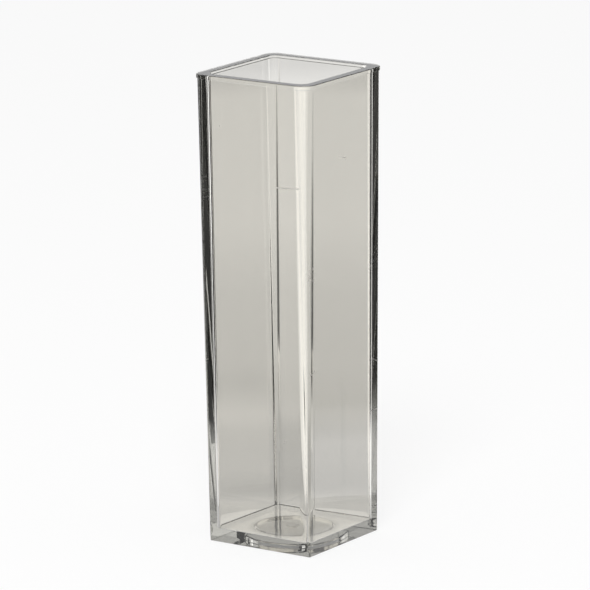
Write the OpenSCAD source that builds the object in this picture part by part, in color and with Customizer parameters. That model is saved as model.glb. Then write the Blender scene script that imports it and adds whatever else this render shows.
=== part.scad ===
// Square cuvette, one clear injection moulding: a drafted four-sided tube with a closed base, a
// narrow band round the mouth, and a shallow round recess under the base that keeps the sprue
// stub clear of the bench. The origin is at the middle of the base, with +Z up.

/* [Body] */
// Overall height
height = 45; // [35:0.5:60]
// Outside width just under the rim band
top_width = 12.8; // [12.2:0.1:13.6]
// Outside width at the base
base_width = 11.45; // [11.2:0.05:12]
// Radius of the upright outside corners at the top
top_corner_r = 1.1; // [0.6:0.1:1.5]
// Radius of the upright outside corners at the base
base_corner_r = 0.15; // [0.05:0.05:0.5]

/* [Rim] */
// How far the rim band stands proud of the walls
rim_step = 0.1; // [0.05:0.05:0.3]
// Height of the rim band
rim_height = 0.4; // [0.2:0.1:1.2]

/* [Well] */
// Inside width at the mouth
mouth_width = 11; // [10.7:0.1:11.3]
// Inside width at the floor
floor_width = 10.6; // [10:0.1:10.7]
// Radius of the upright inside corners at the mouth
mouth_corner_r = 0.9; // [0.6:0.1:1.4]
// Radius of the upright inside corners at the floor
floor_corner_r = 0.8; // [0.6:0.1:1.2]
// Radius of the fillet between the walls and the floor
floor_fillet_r = 0.1; // [0.1:0.1:0.5]
// Thickness of the base plate
base_thickness = 1.25; // [1.1:0.05:2]

/* [Base recess] */
// Diameter of the recess under the base
recess_d = 7.2; // [5:0.2:9]
// Depth of the recess
recess_depth = 0.45; // [0.3:0.05:0.6]
// Radius where the recess wall meets its ceiling
recess_edge_r = 0.2; // [0.1:0.05:0.25]
// Diameter of the sprue stub at its root
stub_root_d = 1.2; // [0.8:0.1:1.6]
// Diameter of the sprue stub where it is cut off
stub_tip_d = 0.8; // [0.4:0.1:0.8]
// Height of the sprue stub
stub_height = 0.25; // [0.1:0.05:0.3]

/* [Hidden] */
clear_plastic = [0.87, 0.87, 0.84, 0.45];
corner_facets = 32;
round_facets = 96;
skin = 0.01;     // thickness of the discs that the drafted blocks are stretched between
over = 1;        // how far a cutting shape runs past the face that it opens
rim_width = top_width + 2 * rim_step;
rim_corner_r = top_corner_r + rim_step;
mouth_growth = (mouth_width - floor_width) / (height - base_thickness);

// The same child at each of the four corners of a square, given the half distance between them
module at_corners(half) {
    for (x = [-half, half], y = [-half, half])
        translate([x, y, 0]) children();
}

// Flat square with true round corners
module round_square(width, r) {
    square([width, width - 2 * r], center = true);
    square([width - 2 * r, width], center = true);
    at_corners(width / 2 - r) circle(r = r, $fn = round_facets);
}

// Drafted block of the outside: nearly sharp corners at the base, rounded ones at the top
module outside_block() {
    hull() {
        at_corners(base_width / 2 - base_corner_r)
            cylinder(r = base_corner_r, h = skin, $fn = corner_facets);
        translate([0, 0, height - skin])
            at_corners(top_width / 2 - top_corner_r)
                cylinder(r = top_corner_r, h = skin, $fn = corner_facets);
    }
}

// Band round the mouth
module rim_band() {
    translate([0, 0, height - rim_height])
        linear_extrude(rim_height) round_square(rim_width, rim_corner_r);
}

// Disc with its lower edge rounded, as at each corner of the well's floor
module filleted_disc(r, fillet) {
    rotate_extrude($fn = corner_facets)
        intersection() {
            union() {
                square([r - fillet, fillet]);
                translate([r - fillet, fillet]) circle(r = fillet, $fn = corner_facets);
            }
            square([r, fillet]);
        }
}

// Space inside: a drafted square with round corners and a fillet at the floor
module well_space() {
    top_half = mouth_width / 2 - mouth_corner_r + mouth_growth * over / 2;
    translate([0, 0, base_thickness])
        hull() {
            at_corners(floor_width / 2 - floor_corner_r)
                filleted_disc(floor_corner_r, floor_fillet_r);
            translate([0, 0, height - base_thickness + over])
                at_corners(top_half)
                    cylinder(r = mouth_corner_r, h = skin, $fn = corner_facets);
        }
}

// Space of the recess: a flat round pocket with a rounded edge, around the sprue stub
module recess_space() {
    r = recess_d / 2;
    difference() {
        rotate_extrude($fn = round_facets)
            union() {
                translate([0, -over]) square([r, over + recess_depth - recess_edge_r]);
                translate([0, -over]) square([r - recess_edge_r, over + recess_depth]);
                translate([r - recess_edge_r, recess_depth - recess_edge_r])
                    circle(r = recess_edge_r, $fn = corner_facets);
            }
        translate([0, 0, recess_depth - stub_height])
            cylinder(d1 = stub_tip_d, d2 = stub_root_d, h = stub_height + over, $fn = round_facets);
    }
}

module cuvette() {
    color(clear_plastic)
        difference() {
            union() {
                outside_block();
                rim_band();
            }
            well_space();
            recess_space();
        }
}

cuvette();
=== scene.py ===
"""Clear square cuvette: one drafted moulding, open at the top, on a pale floor in soft light.

The model is in metres. The sizes below are in millimetres, as in the part's source, and the overall
height and rim width come from the frame. Every ring of the vessel's mesh is a rounded square or a
circle with the same number of points, so the whole skin is one closed loft. The studio has cards
and sheets that show only in and through the plastic: their glow is painted light and painted
shade, which draws the lines along its edges and much of the grey of its faces.
"""
import math

import bpy
import bmesh
from mathutils import Matrix, Vector


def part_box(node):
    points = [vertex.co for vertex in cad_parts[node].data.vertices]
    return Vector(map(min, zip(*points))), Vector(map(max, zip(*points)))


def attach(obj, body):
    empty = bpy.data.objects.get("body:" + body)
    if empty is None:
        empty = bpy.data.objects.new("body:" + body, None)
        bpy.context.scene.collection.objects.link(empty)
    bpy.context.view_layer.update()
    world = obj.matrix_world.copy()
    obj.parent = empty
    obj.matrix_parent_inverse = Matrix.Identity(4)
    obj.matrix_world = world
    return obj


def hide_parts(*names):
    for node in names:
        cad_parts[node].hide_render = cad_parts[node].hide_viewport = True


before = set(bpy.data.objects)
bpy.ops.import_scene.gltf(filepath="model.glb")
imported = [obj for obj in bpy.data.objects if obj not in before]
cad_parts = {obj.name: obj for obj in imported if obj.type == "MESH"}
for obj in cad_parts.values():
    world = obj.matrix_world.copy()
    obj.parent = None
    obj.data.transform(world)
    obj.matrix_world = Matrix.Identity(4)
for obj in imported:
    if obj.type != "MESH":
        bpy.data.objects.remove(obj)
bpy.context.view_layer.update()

MM = 0.001

# Driving sizes of the vessel, in millimetres
CAD_LOW, CAD_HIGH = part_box("cuvette")
HEIGHT = (CAD_HIGH[2] - CAD_LOW[2]) / MM
RIM_WIDTH = (CAD_HIGH[0] - CAD_LOW[0]) / MM
RIM_STEP = 0.1
RIM_HEIGHT = 0.4
TOP_WIDTH = RIM_WIDTH - 2 * RIM_STEP
TOP_CORNER = 1.1
BASE_WIDTH = 11.45
BASE_CORNER = 0.15
MOUTH_WIDTH = 11.0
MOUTH_CORNER = 0.9
FLOOR_WIDTH = 10.6
FLOOR_CORNER = 0.8
FLOOR_FILLET = 0.1
BASE_THICKNESS = 1.25
RECESS_D = 7.2
RECESS_DEPTH = 0.45
RECESS_EDGE = 0.2
STUB_ROOT_D = 1.2
STUB_TIP_D = 0.8
STUB_HEIGHT = 0.25

# Roundings too small to matter to the CAD, which keep the moulded edges from looking cut
EDGE = 0.06
LIP_EDGE = 0.1
STUB_EDGE = 0.05

# Mesh density
CORNER_STEPS = 16
FILLET_STEPS = 4
WALL_STEPS = 24
RING_POINTS = 4 * (CORNER_STEPS + 1)

# The camera, in degrees and millimetres; azimuth turns from the -Y face towards the +X face
CAMERA_AZIMUTH = 34.64
CAMERA_ELEVATION = 13.09
CAMERA_ROLL = 0.68
CAMERA_DISTANCE = 514.0
CAMERA_LENS = 333.5
CAMERA_REACH = 10000
TARGET_RIGHT = 0.366
TARGET_HEIGHT = 23.41

# The plastic: its tint, and how it darkens with depth
PLASTIC_TINT = (0.947, 0.93, 0.883, 1)
PLASTIC_IOR = 1.59
DEPTH_COLOUR = (0.5, 0.5, 0.47, 1)
DEPTH_DENSITY = 130

# Waves of the moulded faces, in millimetres
WAVE_SIZE = 3.5
WAVE_DEPTH = 0.004

# The scratches and nicks that can be picked out one by one, from and to, in millimetres
SCRATCHES = (
    ((-5.5, -6.26, 35.3), (-5.05, -6.26, 35.4)),
    ((-5.85, -6.2, 34.1), (-4.75, -6.25, 34.2)),
    ((-5.5, -6.24, 33.4), (-4.9, -6.24, 33.5)),
    ((-5.75, -5.97, 17.7), (-5.4, -5.97, 17.8)),
    ((-5.75, -5.88, 13.1), (-5.6, -5.88, 12.5)),
    ((6.11, 4.16, 25.9), (6.1, 5.9, 27.6)),
    ((6.11, 4.9, 27.2), (6.1, 5.7, 27.9)),
    ((6.0, 4.7, 17.1), (6.0, 5.8, 16.6)),
    ((5.92, 4.55, 12.0), (5.9, 5.7, 12.05)),
    ((5.75, 4.8, 2.6), (5.75, 5.6, 2.7)),
    ((6.05, -5.9, 27.0), (6.13, -4.9, 27.4)),
    ((6.08, -5.7, 27.6), (6.12, -5.1, 26.3)),
    ((6.05, -5.85, 26.5), (6.12, -5.2, 27.9)),
    ((6.0, -5.5, 17.6), (5.99, -4.9, 17.9)),
    ((2.8, -6.25, 35.2), (5.5, -6.25, 35.35)),
    ((-3.47, -6.33, 40.36), (-3.42, -6.33, 40.42)),
    ((3.16, -5.89, 10.9), (3.22, -5.89, 10.96)),
    ((6.29, -0.9, 37.6), (6.28, 0.1, 37.3)),
)
SCRATCH_WIDTH = 0.09
SCRATCH_WANDER = 0.08
SCRATCH_WANDER_SIZE = 0.5
SCRATCH_ROUGHNESS = 0.7

# The hairline scratches: a stretched web of lines, kept only in patches
HAIRLINE_CELL = 5.0
HAIRLINE_STRETCH = (1, 1, 0.45)
HAIRLINE_EDGE = (0.001, 0.005)
HAIRLINE_PATCH_SIZE = 4
HAIRLINE_PATCH_EDGE = (0.34, 0.4)
HAIRLINE_SHARE = 0.2

# The studio, in millimetres: a white floor and surround, brighter to look at than as light
FLOOR_SIZE = 8000
FLOOR_DROP = 0.05
FLOOR_COLOUR = (0.94, 0.94, 0.94, 1)
FLOOR_ROUGHNESS = 0.9
FLOOR_SEEN_WHITE = 0.8
WORLD_LIGHT = 0.6
WORLD_SEEN = 0.93
LAMP_PLACE = (-60, -500, 520)
LAMP_SIZE = 250
LAMP_POWER = 3
BOUNCES = 32
GLOSSY_BOUNCES = 16

# The colour of the cards: a little cool, which the plastic's own warmth turns to white
CARD_WHITE = (0.975, 0.98, 1.0)

# The floor that the plastic sees, as glowing sheets of painted shade and painted light. Outlines
# are in millimetres to the right of and behind the vessel, and stops are pairs of a distance in
# millimetres and a level. Straight behind the vessel the floor has painted shade by depth, to the
# right a painted pool of light, to the left behind a painted dark streak, and under the vessel a
# painted shadow.
# Painted shade round the vessel, darkest just behind it, by depth
SHADE_OUTLINE = ((-20, -150), (50, -150), (50, 320), (-50, 320), (-20, 20))
SHADE_STOPS = ((-150, 0.95), (-55, 0.75), (-20, 0.5), (5, 0.62), (12, 0.64), (18, 0.47),
               (34, 0.48), (43, 0.54), (51, 0.69), (75, 0.82), (110, 0.86), (150, 0.98),
               (238, 0.98), (250, 0.86), (320, 0.86))
# A painted pool of light on the floor to the right of the vessel, brighter than white
LIT_OUTLINE = ((11.5, 5), (44, 17), (44, 22), (300, 190), (300, 460), (11.5, 460))
LIT_STOPS = ((11.5, 0.88), (14, 1.0), (21, 1.15), (30, 1.35), (42, 1.35), (55, 1.2), (150, 1.05),
             (300, 0.95))
# A painted dark streak of shade on the floor to the left behind the vessel
SHADE_STREAK_OUTLINE = ((-24, 75), (-36, 75), (-170, 300), (-60, 300), (-28, 98))
SHADE_STREAK_STOPS = ((75, 0.5), (82, 0.2), (110, 0.2), (170, 0.28), (215, 0.5), (300, 0.65))
# The vessel's painted shadow under it: a disc darkest in its middle
UNDER_SHADOW_RADIUS = 11
UNDER_SHADOW_STOPS = ((0, 0.3), (3.4, 0.3), (4.2, 0.75), (8, 0.85), (11, 0.8))

# The dark sheet over the vessel, which its rim sees and shows as painted dark lines
CEILING_HEIGHT = 75
CEILING_OUTLINE = ((-70, -70), (70, -70), (70, 50), (-70, 50))
CEILING_STOPS = ((-70, 0.1), (50, 0.1))

# What the cards glow by height in millimetres: painted dark and painted light, which shows only in
# and through the plastic. A dark card has a little painted light at its foot.
FLAG_STOPS = ((0, 0.5), (2.5, 0.07), (16, 0.07), (33, 0.12), (60, 0.12))
BACK_FLAG_STOPS = ((0, 0.65), (4.5, 0.65), (8, 0.02), (46, 0.02))
HIGH_FLAG_STOPS = ((0, 1.2), (5, 1.2), (9, 0.03), (60, 0.03))
NEAR_RIGHT_STOPS = ((0, 1.3), (5.5, 1.3), (9.5, 0.07), (16, 0.07), (40, 0.12), (60, 0.12))
NEAR_LEFT_STOPS = ((0, 0.9), (5, 0.9), (11.5, 0.07), (16, 0.07), (40, 0.12), (60, 0.12))
# A card that glows with painted light, though it is no lamp
GLOW_LEFT_STOPS = ((0, 0.8), (3, 2.3), (60, 2.3))


def square_ring(half, corner, z):
    """Points of a square of half width `half` with corner radius `corner`, counter-clockwise."""
    points = []
    for turn, (sx, sy) in enumerate(((1, 1), (-1, 1), (-1, -1), (1, -1))):
        for step in range(CORNER_STEPS + 1):
            angle = math.radians(90 * (turn + step / CORNER_STEPS))
            x = sx * (half - corner) + corner * math.cos(angle)
            y = sy * (half - corner) + corner * math.sin(angle)
            points.append((x, y, z))
    return points


def round_ring(radius, z):
    """Points of a circle, in step with those of a square ring."""
    points = []
    for index in range(RING_POINTS):
        angle = 2 * math.pi * (index + 0.5) / RING_POINTS
        points.append((radius * math.cos(angle), radius * math.sin(angle), z))
    return points


def bend(half, corner, z, radius, start, end):
    """Square rings round a small fillet; its centre line is at half, corner, z."""
    rings = []
    for step in range(FILLET_STEPS + 1):
        angle = math.radians(start + (end - start) * step / FILLET_STEPS)
        reach = radius * math.cos(angle)
        rings.append(square_ring(half + reach, corner + reach, z + radius * math.sin(angle)))
    return rings


def round_bend(centre, z, radius, start, end):
    """Round rings round a small fillet in a turned shape."""
    rings = []
    for step in range(FILLET_STEPS + 1):
        angle = math.radians(start + (end - start) * step / FILLET_STEPS)
        rings.append(round_ring(centre + radius * math.cos(angle), z + radius * math.sin(angle)))
    return rings


def underside():
    """Rings from the middle of the sprue stub out to the flat that the base stands on."""
    tip = RECESS_DEPTH - STUB_HEIGHT
    rings = [round_ring(STUB_TIP_D / 2 - 3 * STUB_EDGE, tip)]
    rings += round_bend(STUB_TIP_D / 2 - STUB_EDGE, tip + STUB_EDGE, STUB_EDGE, -90, -10)
    rings += round_bend(STUB_ROOT_D / 2 + STUB_EDGE, RECESS_DEPTH - STUB_EDGE, STUB_EDGE, 170, 90)
    rings.append(round_ring(RECESS_D / 4, RECESS_DEPTH))
    ceiling = RECESS_D / 2 - RECESS_EDGE
    rings += round_bend(ceiling, RECESS_DEPTH - RECESS_EDGE, RECESS_EDGE, 90, 0)
    rings += round_bend(RECESS_D / 2 + EDGE, EDGE, EDGE, 180, 270)
    return rings


def outside_at(z):
    """Half width and corner radius of the drafted outside at a height."""
    share = z / HEIGHT
    half = (BASE_WIDTH + (TOP_WIDTH - BASE_WIDTH) * share) / 2
    return half, BASE_CORNER + (TOP_CORNER - BASE_CORNER) * share


def outside():
    """Rings from the foot of the walls up to the outer edge of the rim."""
    half, corner = outside_at(0)
    rings = bend(half - EDGE, corner - EDGE, EDGE, EDGE, -90, 0)
    band = HEIGHT - RIM_HEIGHT
    for step in range(1, WALL_STEPS):
        z = EDGE + (band - 2 * EDGE) * step / WALL_STEPS
        rings.append(square_ring(*outside_at(z), z))
    # under the rim band: a hollow bend out of the wall, then a round one on to the band
    half, corner = outside_at(band)
    step_edge = RIM_STEP / 2
    rings += bend(half + step_edge, corner + step_edge, band - step_edge, step_edge, 180, 90)
    rim_half = RIM_WIDTH / 2
    rim_corner = TOP_CORNER + RIM_STEP
    rings += bend(rim_half - step_edge, rim_corner - step_edge, band + step_edge, step_edge, -90, 0)
    rings += bend(rim_half - LIP_EDGE, rim_corner - LIP_EDGE, HEIGHT - LIP_EDGE, LIP_EDGE, 0, 90)
    return rings


def well():
    """Rings from the inner edge of the rim down the well to its floor."""
    half = MOUTH_WIDTH / 2
    rings = bend(half + LIP_EDGE, MOUTH_CORNER + LIP_EDGE, HEIGHT - LIP_EDGE, LIP_EDGE, 90, 180)
    top = HEIGHT - LIP_EDGE
    bottom = BASE_THICKNESS + FLOOR_FILLET
    for step in range(1, WALL_STEPS):
        share = step / WALL_STEPS
        width = MOUTH_WIDTH + (FLOOR_WIDTH - MOUTH_WIDTH) * share
        corner = MOUTH_CORNER + (FLOOR_CORNER - MOUTH_CORNER) * share
        rings.append(square_ring(width / 2, corner, top + (bottom - top) * share))
    rings += bend(FLOOR_WIDTH / 2 - FLOOR_FILLET, FLOOR_CORNER - FLOOR_FILLET, bottom,
                  FLOOR_FILLET, 0, -90)
    rings.append(round_ring(RECESS_D / 2, BASE_THICKNESS))
    rings.append(round_ring(RECESS_D / 8, BASE_THICKNESS))
    return rings


def loft(name, rings):
    """One closed skin through the rings, with a fan over the first and the last."""
    mesh = bpy.data.meshes.new(name)
    model = bmesh.new()
    rows = [[model.verts.new(Vector(point) * MM) for point in ring] for ring in rings]
    for low, high in zip(rows, rows[1:]):
        for index in range(RING_POINTS):
            follow = (index + 1) % RING_POINTS
            model.faces.new((low[index], low[follow], high[follow], high[index]))
    for row, z in ((rows[0], rings[0][0][2]), (rows[-1], rings[-1][0][2])):
        middle = model.verts.new((0, 0, z * MM))
        for index in range(RING_POINTS):
            model.faces.new((row[index], row[(index + 1) % RING_POINTS], middle))
    bmesh.ops.recalc_face_normals(model, faces=model.faces)
    for face in model.faces:
        face.smooth = True
    model.to_mesh(mesh)
    model.free()
    return mesh


def keep_flats_flat(mesh):
    """Area-weighted normals, so that a fillet doesn't bend the light in the flat beside it."""
    normals = [Vector() for _ in mesh.vertices]
    for face in mesh.polygons:
        for index in face.vertices:
            normals[index] += face.normal * face.area
    mesh.normals_split_custom_set_from_vertices([normal.normalized() for normal in normals])


def calculate(nodes, links, operation, first, second):
    """The result of one sum; `first` is a socket and `second` a socket or a number."""
    node = nodes.new("ShaderNodeMath")
    node.operation = operation
    links.new(first, node.inputs[0])
    if isinstance(second, (int, float)):
        node.inputs[1].default_value = second
    else:
        links.new(second, node.inputs[1])
    return node.outputs[0]


def calculate_vector(nodes, links, operation, first, second):
    """The node of one vector sum; `first` is a socket and `second` three numbers."""
    node = nodes.new("ShaderNodeVectorMath")
    node.operation = operation
    links.new(first, node.inputs[0])
    node.inputs[1].default_value = second
    return node


def fade(nodes, links, value, full, none):
    """1 where the value is at `full`, falling to 0 at `none`."""
    node = nodes.new("ShaderNodeMapRange")
    node.inputs["From Min"].default_value = full
    node.inputs["From Max"].default_value = none
    node.inputs["To Min"].default_value = 1
    node.inputs["To Max"].default_value = 0
    links.new(value, node.inputs["Value"])
    return node.outputs["Result"]


def noise(nodes, links, place, size):
    """Smooth noise with features of `size` millimetres."""
    node = nodes.new("ShaderNodeTexNoise")
    node.inputs["Scale"].default_value = 1 / (size * MM)
    node.inputs["Detail"].default_value = 0
    links.new(place, node.inputs["Vector"])
    return node


def line_distance(nodes, links, place, start, end):
    """Distance in metres from a place on the skin to the line from `start` to `end`."""
    start, run = Vector(start) * MM, (Vector(end) - Vector(start)) * MM
    offset = calculate_vector(nodes, links, "SUBTRACT", place, start)
    scaled_run = run / run.length_squared
    share = calculate_vector(nodes, links, "DOT_PRODUCT", offset.outputs[0], scaled_run)
    clamp = nodes.new("ShaderNodeClamp")
    links.new(share.outputs["Value"], clamp.inputs["Value"])
    along = nodes.new("ShaderNodeVectorMath")
    along.operation = "SCALE"
    along.inputs[0].default_value = run
    links.new(clamp.outputs[0], along.inputs["Scale"])
    gap = nodes.new("ShaderNodeVectorMath")
    gap.operation = "DISTANCE"
    links.new(offset.outputs[0], gap.inputs[0])
    links.new(along.outputs[0], gap.inputs[1])
    return gap.outputs["Value"]


def deep_scratches(nodes, links, place):
    """1 on the scratches and nicks that can be picked out one by one, else 0."""
    wander = noise(nodes, links, place, SCRATCH_WANDER_SIZE)
    shift = calculate_vector(nodes, links, "MULTIPLY_ADD", wander.outputs["Color"],
                             (SCRATCH_WANDER * MM,) * 3)
    links.new(place, shift.inputs[2])
    nearest = None
    for start, end in SCRATCHES:
        gap = line_distance(nodes, links, shift.outputs[0], start, end)
        nearest = calculate(nodes, links, "MINIMUM", gap, nearest) if nearest else gap
    return fade(nodes, links, nearest, SCRATCH_WIDTH * MM / 4, SCRATCH_WIDTH * MM)


def hairlines(nodes, links, place):
    """1 on a sparse web of hairline scratches from handling, else 0."""
    stretch = calculate_vector(nodes, links, "MULTIPLY", place, HAIRLINE_STRETCH)
    cells = nodes.new("ShaderNodeTexVoronoi")
    cells.feature = "DISTANCE_TO_EDGE"
    cells.inputs["Scale"].default_value = 1 / (HAIRLINE_CELL * MM)
    links.new(stretch.outputs[0], cells.inputs["Vector"])
    line = fade(nodes, links, cells.outputs["Distance"], *HAIRLINE_EDGE)
    patches = noise(nodes, links, place, HAIRLINE_PATCH_SIZE)
    patch = fade(nodes, links, patches.outputs["Fac"], *HAIRLINE_PATCH_EDGE)
    return calculate(nodes, links, "MULTIPLY", line, patch)


def wear(nodes, links, place):
    """1 on a deep scratch, less on a hairline and 0 on the polished face between them."""
    deep = deep_scratches(nodes, links, place)
    fine = calculate(nodes, links, "MULTIPLY", hairlines(nodes, links, place), HAIRLINE_SHARE)
    return calculate(nodes, links, "MAXIMUM", deep, fine)


def mould_waves(nodes, links, place):
    """The normal of a face that the mould has left a very little wavy."""
    waves = noise(nodes, links, place, WAVE_SIZE)
    bump = nodes.new("ShaderNodeBump")
    bump.inputs["Strength"].default_value = 1
    bump.inputs["Distance"].default_value = WAVE_DEPTH * MM
    links.new(waves.outputs["Fac"], bump.inputs["Height"])
    return bump.outputs[0]


def clear_plastic():
    """Clear polystyrene, faintly warm grey, a little wavy from the mould and scratched by use."""
    material = bpy.data.materials.new("clear_plastic")
    material.use_nodes = True
    nodes, links = material.node_tree.nodes, material.node_tree.links
    shader = nodes["Principled BSDF"]
    shader.inputs["Base Color"].default_value = PLASTIC_TINT
    shader.inputs["Transmission Weight"].default_value = 1
    shader.inputs["IOR"].default_value = PLASTIC_IOR
    depth = nodes.new("ShaderNodeVolumeAbsorption")
    depth.inputs["Color"].default_value = DEPTH_COLOUR
    depth.inputs["Density"].default_value = DEPTH_DENSITY
    links.new(depth.outputs[0], nodes["Material Output"].inputs["Volume"])
    place = nodes.new("ShaderNodeTexCoord").outputs["Object"]
    worn = wear(nodes, links, place)
    rough = calculate(nodes, links, "MULTIPLY", worn, SCRATCH_ROUGHNESS)
    links.new(rough, shader.inputs["Roughness"])
    links.new(mould_waves(nodes, links, place), shader.inputs["Normal"])
    return material


def add_cuvette():
    """The vessel, in place of the CAD's own."""
    mesh = loft("cuvette_moulding", underside() + outside() + well())
    keep_flats_flat(mesh)
    mesh.materials.append(clear_plastic())
    piece = bpy.data.objects.new("cuvette_moulding", mesh)
    bpy.context.scene.collection.objects.link(piece)
    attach(piece, "root")
    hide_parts("cuvette")


def seen_directly(nodes, links):
    """1 for the rays that look at the backdrop, straight or through or off the plastic, else 0."""
    path = nodes.new("ShaderNodeLightPath")
    seen = path.outputs["Is Camera Ray"]
    for output in ("Is Glossy Ray", "Is Transmission Ray"):
        seen = calculate(nodes, links, "MAXIMUM", seen, path.outputs[output])
    return seen


def add_world():
    """White to look at, and a plain soft light on everything."""
    world = bpy.data.worlds.new("studio")
    bpy.context.scene.world = world
    world.use_nodes = True
    nodes, links = world.node_tree.nodes, world.node_tree.links
    background = nodes["Background"]
    background.inputs["Color"].default_value = (1, 1, 1, 1)
    strength = nodes.new("ShaderNodeMapRange")
    strength.inputs["To Min"].default_value = WORLD_LIGHT
    strength.inputs["To Max"].default_value = WORLD_SEEN
    links.new(seen_directly(nodes, links), strength.inputs["Value"])
    links.new(strength.outputs["Result"], background.inputs["Strength"])


def add_floor():
    """A plain white floor that keeps the vessel's shadow."""
    bpy.ops.mesh.primitive_plane_add(size=FLOOR_SIZE * MM, location=(0, 0, -FLOOR_DROP * MM))
    floor = bpy.context.object
    floor.name = "floor"
    material = bpy.data.materials.new("floor_white")
    material.use_nodes = True
    nodes, links = material.node_tree.nodes, material.node_tree.links
    shader = nodes["Principled BSDF"]
    shader.inputs["Base Color"].default_value = FLOOR_COLOUR
    shader.inputs["Roughness"].default_value = FLOOR_ROUGHNESS
    shader.inputs["Specular IOR Level"].default_value = 0
    white = nodes.new("ShaderNodeEmission")
    mix = nodes.new("ShaderNodeMixShader")
    seen = seen_directly(nodes, links)
    share = calculate(nodes, links, "MULTIPLY", seen, FLOOR_SEEN_WHITE)
    links.new(share, mix.inputs["Fac"])
    links.new(shader.outputs[0], mix.inputs[1])
    links.new(white.outputs[0], mix.inputs[2])
    links.new(mix.outputs[0], nodes["Material Output"].inputs["Surface"])
    floor.data.materials.append(material)


def studio_place(side, depth, up):
    """A point in metres, from millimetres to the right of, behind and above the vessel."""
    azimuth = math.radians(CAMERA_AZIMUTH)
    right = Vector((math.cos(azimuth), math.sin(azimuth), 0))
    away = Vector((-math.sin(azimuth), math.cos(azimuth), 0))
    return (right * side + away * depth + Vector((0, 0, up))) * MM


def only_plastic_sees(piece):
    """A piece of the studio that shows in and through the plastic and nowhere else."""
    piece.visible_camera = False
    piece.visible_diffuse = False
    piece.visible_shadow = False


def glow_by(nodes, links, distance, stops):
    """An emission that follows `stops` by a distance in metres."""
    first, last = stops[0][0], stops[-1][0]
    most = max(level for _, level in stops)
    reach = nodes.new("ShaderNodeMapRange")
    reach.inputs["From Min"].default_value = first * MM
    reach.inputs["From Max"].default_value = last * MM
    ramp = nodes.new("ShaderNodeValToRGB")
    marks = ramp.color_ramp.elements
    while len(marks) < len(stops):
        marks.new(0.5)
    for mark, (place, level) in zip(marks, stops):
        mark.position = (place - first) / (last - first)
        mark.color = (level / most, level / most, level / most, 1)
    links.new(distance, reach.inputs["Value"])
    links.new(reach.outputs["Result"], ramp.inputs["Fac"])
    glow = nodes.new("ShaderNodeEmission")
    glow.inputs["Color"].default_value = (*CARD_WHITE, 1)
    strength = calculate(nodes, links, "MULTIPLY", ramp.outputs["Color"], most)
    links.new(strength, glow.inputs["Strength"])
    return glow


def around(distance, start, end):
    """Points on an arc round the vessel, by degrees clockwise from straight behind it."""
    steps = max(2, round(abs(end - start) / 5))
    turns = [math.radians(start + (end - start) * step / steps) for step in range(steps + 1)]
    return [(distance * math.sin(turn), distance * math.cos(turn)) for turn in turns]


def add_glow(name, points, faces, direction, stops):
    """A sheet that only the plastic sees, through points of the studio.

    It glows as `stops` say by distance along a direction of the studio, or from its middle if
    there is no direction.
    """
    mesh = bpy.data.meshes.new(name)
    mesh.from_pydata([tuple(studio_place(*point)) for point in points], [], faces)
    material = bpy.data.materials.new(name)
    material.use_nodes = True
    nodes, links = material.node_tree.nodes, material.node_tree.links
    place = nodes.new("ShaderNodeTexCoord")
    distance = nodes.new("ShaderNodeVectorMath")
    distance.operation = "DOT_PRODUCT" if direction else "LENGTH"
    if direction:
        distance.inputs[1].default_value = studio_place(*direction) / MM
    links.new(place.outputs["Object"], distance.inputs[0])
    glow = glow_by(nodes, links, distance.outputs["Value"], stops)
    links.new(glow.outputs[0], nodes["Material Output"].inputs["Surface"])
    mesh.materials.append(material)
    sheet = bpy.data.objects.new(name, mesh)
    bpy.context.scene.collection.objects.link(sheet)
    only_plastic_sees(sheet)


def add_card(name, path, stops):
    """A card standing on the floor along `path`, which glows by height as `stops` say."""
    foot = [(*point, 0) for point in path]
    head = [(*point, stops[-1][0]) for point in path]
    faces = [(i, i + 1, i + 1 + len(path), i + len(path)) for i in range(len(path) - 1)]
    add_glow(name, foot + head, faces, (0, 0, 1), stops)


def add_level_card(name, outline, lift, direction, stops):
    """A level sheet at a height, which glows by distance as `stops` say."""
    points = [(*corner, lift) for corner in outline]
    add_glow(name, points, [tuple(range(len(outline)))], direction, stops)


def add_floor_sheets():
    """Sheets of painted shade, light and shadow just above the floor, which the plastic sees in its
    place.
    """
    behind, right = (0, 1, 0), (1, 0, 0)
    under = around(UNDER_SHADOW_RADIUS, 0, 360)[:-1]
    add_level_card("floor_shade", SHADE_OUTLINE, -0.04, behind, SHADE_STOPS)
    add_level_card("floor_lit", LIT_OUTLINE, -0.03, right, LIT_STOPS)
    add_level_card("floor_shade_streak", SHADE_STREAK_OUTLINE, -0.03, behind, SHADE_STREAK_STOPS)
    add_level_card("floor_under_shadow", under, -0.02, None, UNDER_SHADOW_STOPS)


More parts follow.
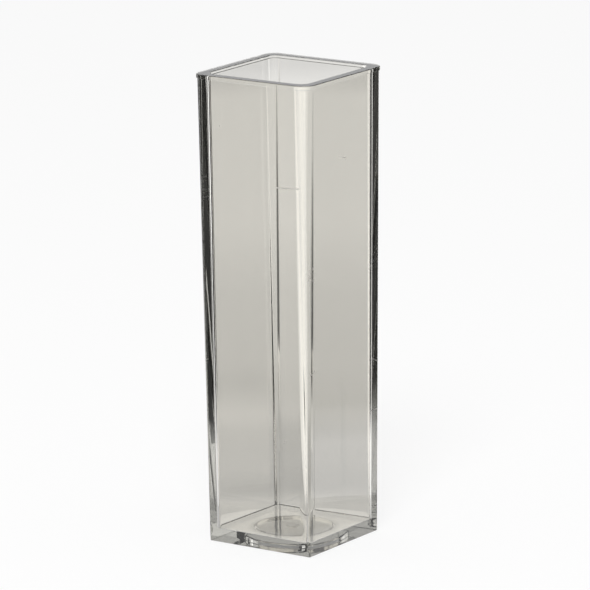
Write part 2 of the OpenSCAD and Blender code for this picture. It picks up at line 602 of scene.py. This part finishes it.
def add_cards():
    """The cards round the vessel, which its upright corners see, and the one over its rim. Their
    glow is painted dark and painted light, which shows only in and through the plastic.

    The gaps between them are where the studio shows straight through the faces from the front,
    the back or a side.
    """
    add_card("flag_left_back", [(-34.5, 30), (-13.8, 30)], BACK_FLAG_STOPS)
    add_card("flag_left", [(-48, 23), (-48, 26.8)], FLAG_STOPS)
    add_card("glow_left", [(-48, 10), (-48, 23)], GLOW_LEFT_STOPS)
    add_card("flag_front", [(17.9, -170)] + around(50, 182, 285), FLAG_STOPS)
    add_card("flag_right", around(45, 53, 156) + [(43.5, -165)], FLAG_STOPS)
    add_card("flag_right_high", around(45, 43.5, 53), HIGH_FLAG_STOPS)
    add_card("flag_right_back", around(110, 39.5, 62), FLAG_STOPS)
    add_card("flag_right_near", around(20, 49, 100), NEAR_RIGHT_STOPS)
    add_card("flag_left_near", around(20, 225, 282), NEAR_LEFT_STOPS)
    add_level_card("ceiling", CEILING_OUTLINE, CEILING_HEIGHT, (0, 1, 0), CEILING_STOPS)


def add_lamp():
    """One soft square lamp, high and in front, aimed at the middle of the vessel."""
    light = bpy.data.lights.new("key", "AREA")
    light.size = LAMP_SIZE * MM
    light.energy = LAMP_POWER
    lamp = bpy.data.objects.new("key", light)
    place = studio_place(*LAMP_PLACE)
    lamp.location = place
    aim = Vector((0, 0, HEIGHT * MM / 2)) - place
    lamp.rotation_euler = aim.to_track_quat("-Z", "Y").to_euler()
    bpy.context.scene.collection.objects.link(lamp)


def add_camera():
    """A long lens a little above the rim, with a trace of roll."""
    azimuth = math.radians(CAMERA_AZIMUTH)
    elevation = math.radians(CAMERA_ELEVATION)
    roll = math.radians(CAMERA_ROLL)
    side = Vector((math.cos(azimuth), math.sin(azimuth), 0))
    back = Vector((math.sin(azimuth) * math.cos(elevation),
                   -math.cos(azimuth) * math.cos(elevation), math.sin(elevation)))
    up = back.cross(side)
    right = side * math.cos(roll) - up * math.sin(roll)
    camera = bpy.data.objects.new("camera", bpy.data.cameras.new("camera"))
    camera.data.lens = CAMERA_LENS
    camera.data.clip_end = CAMERA_REACH * MM
    target = (side * TARGET_RIGHT + Vector((0, 0, TARGET_HEIGHT))) * MM
    facing = Matrix((right, back.cross(right), back)).transposed().to_4x4()
    camera.matrix_world = Matrix.Translation(target + back * CAMERA_DISTANCE * MM) @ facing
    bpy.context.scene.collection.objects.link(camera)
    bpy.context.scene.camera = camera


def settle_render():
    """Plain colours, and enough bounces for light that runs a long way inside the walls."""
    scene = bpy.context.scene
    scene.view_settings.view_transform = "Standard"
    scene.cycles.max_bounces = BOUNCES
    scene.cycles.transmission_bounces = BOUNCES
    scene.cycles.glossy_bounces = GLOSSY_BOUNCES


add_camera()
add_world()
add_floor()
add_floor_sheets()
add_cards()
add_lamp()
add_cuvette()
settle_render()
